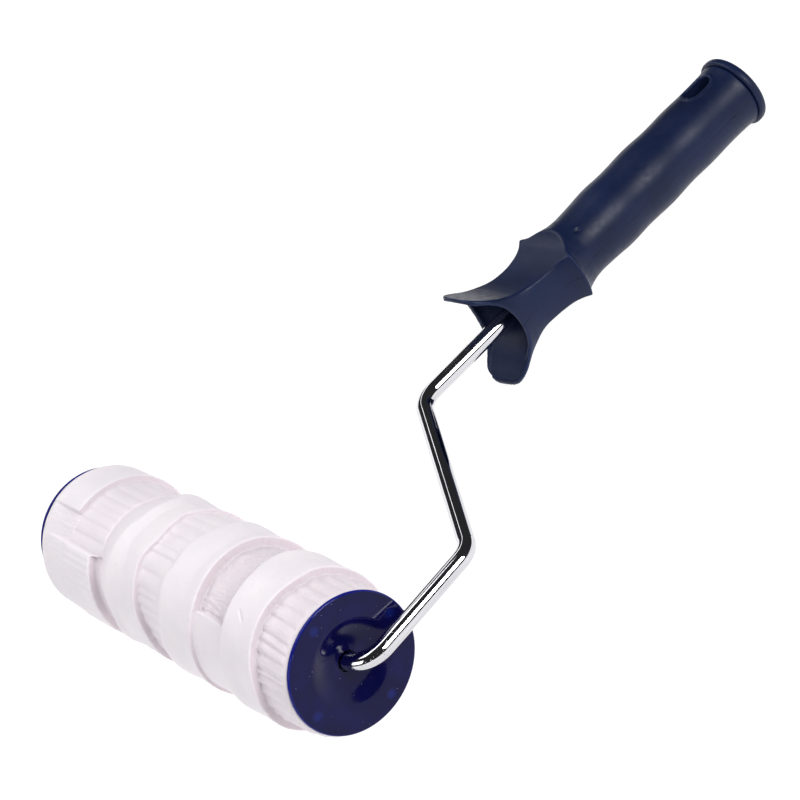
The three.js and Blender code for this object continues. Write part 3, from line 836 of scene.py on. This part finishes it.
def sleeve_strips():
    """The relief from the far end to the near one, as strips and the walls between them."""
    # Lines along the sleeve, x in millimetres by angle.
    a_right = around([[40, -182.2], [90, -181.3], [130, -181.8], [200, -180.5], [270, -183], [330, -182]])
    b_right = around([[21, -155], [60, -154.2], [95, -155.4], [127, -154.6], [250, -155.5], [310, -154]])
    c_right = around([[128, -159], [150, -157.4], [174, -155.4], [201, -158], [245, -157]])
    block_c = span(130.5, 245, 1.0)
    b_right = b_right + (c_right - b_right) * block_c
    d_left = around([[21, -154], [60, -153.6], [95, -154.6], [127, -153.9], [140, -155.6], [174, -152.4],
                     [201, -153.8], [245, -154], [310, -153]])
    d_crest = around([[21, -149.5], [41, -146.4], [58, -139], [90, -138.5], [97, -140.7], [114, -142.3],
                      [130, -143], [145, -142], [165, -140], [201, -145], [240, -142], [290, -139],
                      [330, -145]])
    e_left = around([[40, -132], [90, -131], [106, -132.6], [119, -130.5], [132, -129.3], [145, -131],
                     [160, -135], [176, -136.5], [201, -136], [235, -133], [290, -130], [340, -134]])
    e_right = around([[20, -118.5], [54, -119.3], [67, -120], [74, -118.8], [97, -116.5], [106, -118],
                      [117, -119.3], [132, -118.3], [154, -116.4], [173, -112], [201, -113],
                      [235, -116], [290, -119], [340, -117]])
    g_left = around([[20, -97.5], [39, -97], [55, -93.6], [79, -93.6], [89, -95.2], [105, -94],
                     [120, -95.9], [135, -94.7], [150, -93.5], [171, -96], [220, -95], [280, -92.5],
                     [330, -96]])
    g_valley = around([[21, -84], [42, -79.5], [62, -77.4], [90, -76.5], [114, -78], [145, -78],
                       [156, -76], [169, -74.5], [201, -84], [240, -79], [290, -77], [335, -82]])
    g_right = around([[20, -70.3], [48, -71.5], [90, -70.3], [129, -69], [165, -69], [220, -71],
                      [290, -69.5], [340, -71]])
    i_left = around([[20, -46], [54, -48], [90, -45.3], [125, -44.4], [159, -43], [210, -45],
                     [270, -47.5], [330, -44]])
    i_valley = around([[21, -35], [60, -34], [112, -32.8], [140, -32.4], [164, -29.7], [220, -33],
                       [290, -35], [350, -31.5]])
    i_right = around([[20, -22], [54, -23], [78, -21.3], [108, -22.3], [137, -21.5], [165, -19.7],
                      [182, -19.9], [230, -22.5], [300, -20.8], [350, -22]])
    far_end = np.full(ROWS, FAR_X)
    taper_x = far_end + SLEEVE_END_TAPER
    bevel_x = np.full(ROWS, NEAR_X - 2.6)
    near_end = np.full(ROWS, NEAR_X)

    # Heights of the strips, as radii before the sleeve's off-centre thickness is added.
    a_high = stepped([[0, 34.6], [106, 34.1], [215, 34.8], [300, 33.6], [330, 34.6]])
    a_edge = stepped([[0, 35.0], [106, 32.3], [130.5, 34.8], [215, 34.9], [300, 33.6], [330, 35.0]])
    b_low = stepped([[0, 32.1], [130.5, 35.1], [245, 32.3]], 1.0)
    trough = stepped([[0, 31.6], [130, 30.9], [245, 31.8]])
    f_low = around([[40, 33.0], [95, 33.0], [120, 32.6], [150, 31.9], [176, 31.6], [230, 33.2],
                    [300, 32.6], [350, 32.9]])
    h_low = stepped([[0, 30.4], [129.5, 33.5], [240, 30.0], [330, 33.8], [352, 30.4]], 1.2)
    h_stone = 1 - span(129.5, 240) - span(330, 352)
    j_low = around([[40, 31.2], [120, 31.2], [176, 31.4], [240, 31.6], [300, 31.2]])
    crest, high = np.full(ROWS, 35.3), np.full(ROWS, 35.1)

    a_stone = span(106, 215) + span(300, 330)
    tip = run((far_end, SLEEVE_END_RADIUS - eccentric), (taper_x, a_high), 5,
              lambda x, u: 0.45 * np.sin(u * math.pi))
    a = joined(tip, run((taper_x, a_high), (a_right, a_edge), 11,
                        lambda x, u: a_stone[:, None] * stone(x, 0.3) - 0.2 * np.sin(u * math.pi),
                        a_stone * 0.55))

    b_places = grooves([58.5, 69.4, 81.5, 90, 98.5, 108, 120, 130.8, 136, 141.5, 146.5, 152, 158.5,
                        166], 11)
    b_flutes = flutes(b_places, b_places, 0.54, 12)
    b_crumbs = near_angle(55, 5)[:, None]
    b = run((a_right + 0.5, b_low), (b_right, b_low), 15,
            lambda x, u: b_flutes(x, u) * (1 - 0.4 * block_c[:, None]) + b_crumbs * stone(x, 0.5) * u)

    gully = run((b_right + 0.7, trough), (d_left + 0.9, trough + 0.1), 2)
    d_patch = (near_angle(100, 9) + 0.6 * near_angle(255, 14))[:, None]
    d1 = joined(gully, run((d_left + 0.9, trough), (d_crest, crest - 0.4), 8))
    d2 = joined(d1, run((d_crest, crest), (e_left, crest - 1.3), 9,
                        lambda x, u: d_patch * stone(x, 0.45) * np.sin(u * math.pi)))
    e = joined(d2, run((e_left, crest - 1.3), (e_right, crest - 0.6), 9))

    f_places = grooves([44, 61.7, 72, 85.5, 94, 99, 106, 121, 135, 141, 149, 156, 168, 176.7], 21)
    f = run((e_right + 0.6, f_low), (g_left - 0.5, f_low + 0.9), 14, flutes(f_places, f_places, 0.56, 22))

    g1 = run((g_left, crest), (g_valley, crest - 0.8), 11,
             lambda x, u: 0.35 * near_angle(94, 4)[:, None] * stone(x, 1.0) * np.sin(u * math.pi))
    g2 = joined(g1, run((g_valley, crest - 0.8), (g_right, high), 7))

    h_edge = near_angle(129.5, 2.5)[:, None]
    h = run((g_right + 0.4, h_low), (i_left - 0.4, h_low), 26,
            lambda x, u: h_stone[:, None] * stone(x, 0.46) + h_edge * stone(x, 0.7), h_stone)

    def slit(x, u):
        """A short cut in the broad ribbon near the cap."""
        t = (x + 36.8) / 3.7
        cut_angle = 114.4 + 5.4 * np.clip(t, 0, 1)
        beside = np.abs(angles[:, None] - cut_angle) * 0.61
        lengthwise = np.maximum(np.abs(x + 34.95) - 1.85, 0)
        return -0.7 * np.exp(-((beside / 0.45) ** 2) - (lengthwise / 0.5) ** 2)

    i1 = run((i_left, crest), (i_valley, crest - 0.6), 14, slit)
    i2 = joined(i1, run((i_valley, crest - 0.6), (i_right, high), 9))

    j_left = grooves([56.6, 70.3, 80.8, 96.8, 107, 119.8, 126.5, 135.9, 147.4, 152.4, 160.5, 170], 31)
    j_right = [place + shift for place, shift in zip(j_left, np.random.default_rng(32).uniform(
        -1.5, 3, len(j_left)))]
    j_flutes = flutes(j_left, j_right, 1.05, 33)
    j = run((i_right - 0.15, j_low), (bevel_x, j_low - 0.2), 19,
            lambda x, u: j_flutes(x, u) * (1 - 0.3 * u) + stone(x, 0.22), 0.55)
    bevel = joined(j, run((bevel_x, j_low - 0.2), (near_end, j_low - 1.3), 3,
                          lambda x, u: stone(x, 0.25) * (1 - u), 0.5))

    return [
        tip, a, cliff(a, b, 3, 0.1, 41), b, cliff(b, gully, 3, 0.1, 43), gully, d1, d2, e,
        cliff(e, f, 3, 0.08, 45), f, cliff(f, g1, 2), g1, g2, cliff(g2, h, 4, 0.24, 47), h,
        cliff(h, i1, 3, 0.05, 49), i1, i2, cliff(i2, j, 4, 0.2, 51), j, bevel,
    ]


def mould_seam(x, r):
    """Raises the fine flash line that the mould left along the sleeve."""
    row = int(round(SEAM_ANGLE * ROWS / 360))
    shown = (np.sin(x[row] * 0.9) + np.sin(x[row] * 0.23 + 1) > -0.7) & (x[row] > -150)
    r[row] += 0.3 * shown
    r[row + 1] -= 0.12 * shown
    return r


def texture_sleeve():
    """The relief closed by its end faces and bore, as one skin of rows round the axis."""
    strips = sleeve_strips()
    whole = {key: np.hstack([strip[key] for strip in strips]) for key in ("x", "r", "stone", "cliff")}
    whole["r"] = mould_seam(whole["x"], whole["r"])
    edges = np.cumsum([strip["x"].shape[1] for strip in strips])[:-1]
    for key in ("x", "r"):
        soft = whole[key].copy()
        for column in np.concatenate([edges - 1, edges]):
            beside = whole[key][:, column - 1] + whole[key][:, column + 1]
            soft[:, column] = 0.6 * whole[key][:, column] + 0.2 * beside
        whole[key] = soft
    ends = [(NEAR_X, SLEEVE_NEAR_RADIUS), (NEAR_X, BORE_RADIUS), (-70.0, BORE_RADIUS),
            (-140.0, BORE_RADIUS), (FAR_X, BORE_RADIUS), (FAR_X, SLEEVE_END_RADIUS)]
    x = np.hstack([whole["x"]] + [np.full((ROWS, 1), place) for place, _ in ends])
    r = np.hstack([whole["r"]] + [np.full((ROWS, 1), radius) for _, radius in ends])
    plain = np.zeros((ROWS, len(ends)))
    turned_by = np.radians(angles)[:, None]
    points = np.stack([x, r * np.cos(turned_by), r * np.sin(turned_by)], -1)
    faces = grid_faces(ROWS, x.shape[1])
    # The height attribute sets the painted shade in the sleeve's low places and cliff the painted shade
    # on its walls; stone sets where the rough bump goes.
    piece("sleeve_visual", points.reshape(-1, 3), faces, RUBBER, "roller", "sleeve_rubber",
          ["texture_sleeve"], {"height": r, "stone": np.hstack([whole["stone"], plain]),
                               "cliff": np.hstack([whole["cliff"], plain])})


# ---------- the hand grip ----------

# Half width of the grip across the flat of the tool, by place along the tool.
half_width = smooth_curve([
    [164, 16.4], [171, 16.8], [180, 17.1], [186, 16], [192, 15], [198, 14.6], [203, 14.8],
    [209, 16], [213, 17.6], [217.2, 21.2],
    [219.5, 19.2], [222, 17.9], [225, 17], [229, 16.2], [234, 15.9], [242, 16.2], [254, 16.9],
    [266, 16.5], [282, 17], [298, 16.4], [311, 16.7], [326, 16.4], [337, 16.6], [342.6, 17.2],
])

# Half width at the crease where the flank meets the thumb scoop, and the scoop's height there.
crease_half_width = smooth_curve([
    [165.8, 0], [166.3, 5.2], [167.3, 8.8], [169, 11.3], [172, 12.9], [175, 13.5], [185, 13.4],
    [190, 12.8], [194, 12.5], [199, 12.8], [203, 13.1], [209, 14], [213, 15.4], [217.2, 18.4],
])
scoop_height = smooth_curve([
    [160, 31], [165.8, 26.9], [167, 26], [169, 24.4], [172, 22.1], [176, 19.1], [179.4, 16.7],
    [182, 15.2], [187, 12.9], [192, 11.5], [196, 11], [201, 10.8], [207, 11.1], [213, 11.9],
    [217.2, 12.7], [221, 14.4], [225, 17.6], [228, 22], [SCOOP_END_Y, 30],
])

# The guard stands slightly off the barrel's axis, towards the far end of the roller.
guard_shift = smooth_curve([[164, -2.2], [182, -2.2], [205, 0], [206, 0]])

# The front rim of the mouth: its place along the tool by height above the tool's plane.
rim_place = smooth_curve([
    [0, 180.3], [6, 179.8], [11, 178.6], [14.6, 176.6], [17.6, 174], [20.2, 171], [22.7, 167.6],
    [24.3, 165.9], [25.5, 165.6], [28.5, 165.6],
])


def half_height(y):
    """Half height of the flank's ellipse, which passes through the crease."""
    width = half_width(y)
    guard_y = np.minimum(y, GUARD_BACK_Y)
    across = crease_half_width(guard_y) / half_width(guard_y)
    through_crease = scoop_height(guard_y) / np.sqrt(1 - across**2)
    fade = np.clip(1 - (y - GUARD_BACK_Y) / 2, 0, 1)
    behind = width + (through_crease - half_width(guard_y)) * fade
    return np.where(y < GUARD_BACK_Y, through_crease, behind)


def flank(x, y, z, inset=0.0):
    """Distance outside the oval skin, with the skin moved inwards by the inset."""
    a, c = half_width(y) - inset, half_height(y) - inset
    tiny = 1e-6
    size = x**2 / a**2 + z**2 / c**2 + tiny
    steepness = x**2 / a**4 + z**2 / c**4 + tiny / a**2
    return (np.sqrt(size) - 1) * np.sqrt(size / steepness)


def sloped(value, line, place, step=0.05):
    """Turns a height above a sloping line into the distance square to it."""
    slope = (line(place + step) - line(place - step)) / (2 * step)
    return value / np.sqrt(1 + slope**2)


def slot_distance(x, y):
    reach = (SLOT_LENGTH - SLOT_WIDTH) / 2
    return np.hypot(x, np.maximum(np.abs(y - SLOT_Y) - reach, 0)) - SLOT_WIDTH / 2


def grip_field(points):
    """Negative inside the grip. The points are about the grip's own axis."""
    x, y, z = points.T
    height = np.abs(z)
    skin = flank(x - guard_shift(y), y, z)
    # The far side of the guard reaches further forward than the near one.
    level = y - GUARD_SKEW * x
    scoop = np.where(level < SCOOP_END_Y, sloped(height - scoop_height(level), scoop_height, level), -9.0)
    rim = sloped(rim_place(height) - level, rim_place, height)
    body = meet(skin, scoop, 0.7)

    mouth_y = np.maximum(y, MOUTH_START_Y)
    mouth = meet(flank(x - guard_shift(mouth_y), mouth_y, z, GUARD_WALL),
                 sloped(height - scoop_height(level) + EAR_WALL, scoop_height, level), 1.0)
    mouth = meet(mouth, y - GUARD_WEB_Y, 1.5)
    body = meet(body, -mouth, 0.5)
    body = meet(body, rim, 0.7)
    body = meet(body, y - GRIP_END_Y, 0.5)

    axis_distance = np.hypot(x, z)
    bore = np.maximum(axis_distance - ON_ROD, y - ROD_END_Y - 1)
    cavity = np.maximum(axis_distance - CAVITY_RADIUS, CAVITY_START_Y - y)
    slot = slot_distance(x, y)
    # The hanging slot runs through the cavity in a tunnel of its own. The cavity is plain, without
    # the tube that the solid grip has round the rod's end.
    cavity = np.maximum(cavity, TUNNEL_WALL - slot)
    body = np.maximum(body, -np.minimum(bore, cavity))
    bead = meet(flank(x, y, z, -0.4), np.abs(slot - 0.9) - 0.65, 0.3)
    bead = np.maximum(bead, 8 - height)
    body = join(body, bead, 0.5)
    body = meet(body, -slot, 0.35)
    nick = np.sqrt(((y - 231.5) / 2.0) ** 2 + ((x - 9.5) / 1.0) ** 2 + ((z - 13.2) / 1.2) ** 2) - 1
    return meet(body, -nick * 0.7, 0.2)


def handle_grip():
    points, faces = surface_net(grip_field, (-24, 162, -31), (24, 345, 31), 0.7)
    points[:, 0] += GRIP_X
    piece("grip_visual", points, faces, GRIP, "frame", "grip_plastic", ["handle_grip"])


def grip_seams():
    """The parting line that the mould left along both flanks, with a torn chip on the near one."""
    step = 0.6
    for side, name in ((1, "near_seam_visual"), (-1, "far_seam_visual")):
        guard_y = np.arange(181, GUARD_BACK_Y - step, step)
        barrel_y = np.arange(GUARD_BACK_Y + 0.4, GRIP_END_Y - step, step)
        y = np.concatenate([guard_y, barrel_y])
        path = np.stack([GRIP_X + guard_shift(y) + side * (half_width(y) - 0.02), y, 0 * y], -1)
        chip = np.exp(-(((y - 328) / 1.6) ** 4)) * (side > 0)
        radii = 0.13 + 0.05 * noise(np.stack([y, 0 * y, 0 * y], -1), 6, 61) + 0.3 * chip
        piece(name, *sweep(path, radii, 8), GRIP, "frame", "grip_plastic")


# ---------- the end plug ----------


def plug_field(points):
    """Negative inside the plug: a rounded flange, and a tube in the grip that the slot cuts."""
    x, y, z = points.T
    radius = np.hypot(x, z)
    flange = meet(radius - BUTT_RADIUS, y - BUTT_END_Y, 2.3)
    flange = meet(flange, BUTT_START_Y - y, 1.0)
    tube_outer = CAVITY_RADIUS - FIT_GAP
    tube = np.maximum(radius - tube_outer, tube_outer - PLUG_WALL - radius)
    tube = meet(tube, np.maximum(PLUG_TUBE_START_Y - y, y - BUTT_START_Y - 1.5), 0.3)
    tube = meet(tube, TUNNEL_WALL + 2 * FIT_GAP - slot_distance(x, y), 0.3)
    dimple = np.hypot(radius, y - BUTT_END_Y - 13) - 13.5
    return meet(np.minimum(flange, tube), -dimple, 0.4)


def end_plug():
    points, faces = surface_net(plug_field, (-21, 318, -21), (21, 354, 21), 0.6)
    points[:, 0] += GRIP_X
    piece("end_plug_visual", points, faces, GRIP, "frame", "grip_plastic", ["handle_end_plug"])


# ---------- stage, light and camera ----------


def floor():
    """A plain white sheet just under the lowest point of the fine surfaces."""
    mesh = bpy.data.meshes.new("floor")
    reach = 6.0
    mesh.from_pydata([(-reach, -reach, 0), (reach, -reach, 0), (reach, reach, 0), (-reach, reach, 0)], [],
                     [(0, 1, 2, 3)])
    paper = Finish("pale_floor", (0.2, 0.2, 0.2), 0.9, Specular_IOR_Level=0.1,
                   Emission_Color=(1, 1, 1, 1), Emission_Strength=0.93)
    mesh.materials.append(paper.material)
    thing = bpy.data.objects.new("floor", mesh)
    thing.location.z = -FLOOR_DROP * MM
    bpy.context.scene.collection.objects.link(thing)


def soft_light(name, direction, distance, width, height, power):
    """An area light that looks at the middle of the tool."""
    data = bpy.data.lights.new(name, "AREA")
    data.shape = "RECTANGLE"
    data.size, data.size_y = width, height
    data.energy = power
    thing = bpy.data.objects.new(name, data)
    aim = (cad_low + cad_high) / 2
    way = Vector(direction).normalized()
    thing.location = aim + way * distance
    thing.rotation_mode = "QUATERNION"
    thing.rotation_quaternion = way.to_track_quat("Z", "Y")
    bpy.context.scene.collection.objects.link(thing)


def studio():
    """Three soft lights, two cards for the chrome, and a faint even sky."""
    soft_light("key_light", (-0.4, -0.16, 0.9), 1.7, 1.5, 1.5, 21)
    soft_light("side_light", (0.8, 0.3, 0.52), 1.8, 0.75, 0.85, 25)
    soft_light("front_light", (0.2, -0.9, 0.45), 1.8, 0.8, 0.7, 7)
    # Two pale cards that the chrome shows as lines: a low wide one and a narrow upright one.
    soft_light("low_card", (-1, -0.05, 0.08), 1.7, 2.4, 0.3, 3)
    soft_light("line_card", (-0.8, 0.29, 0.52), 1.7, 0.12, 1.2, 0.8)
    world = bpy.data.worlds.new("studio")
    world.use_nodes = True
    world.node_tree.nodes["Background"].inputs["Color"].default_value = (0.8, 0.82, 0.86, 1)
    world.node_tree.nodes["Background"].inputs["Strength"].default_value = 0.035
    bpy.context.scene.world = world
    bpy.context.scene.view_settings.view_transform = "Standard"


def camera():
    """The camera's place and aim are given in the tool's frame, and its lens in millimetres."""
    place = (828.5, -237.6, 621.2)
    right = np.array([0.56898, 0.67561, -0.46884])
    down = np.array([0.2119, -0.67132, -0.71023])
    back = np.cross(right, -down)
    data = bpy.data.cameras.new("camera")
    data.sensor_width = 36
    data.lens = 117.84
    data.clip_end = 50
    thing = bpy.data.objects.new("camera", data)
    axes = turn @ np.stack([right, -down, back], -1)
    matrix = np.eye(4)
    matrix[:3, :3] = axes
    matrix[:3, 3] = to_row(place)
    thing.matrix_world = Matrix(matrix.tolist())
    bpy.context.scene.collection.objects.link(thing)
    bpy.context.scene.camera = thing


frame_rod()
retainers()
end_cap("near_cap_visual", "near_end_cap", True)
end_cap("far_cap_visual", "far_end_cap", False)
roller_inside()
texture_sleeve()
handle_grip()
grip_seams()
end_plug()
floor()
studio()
camera()
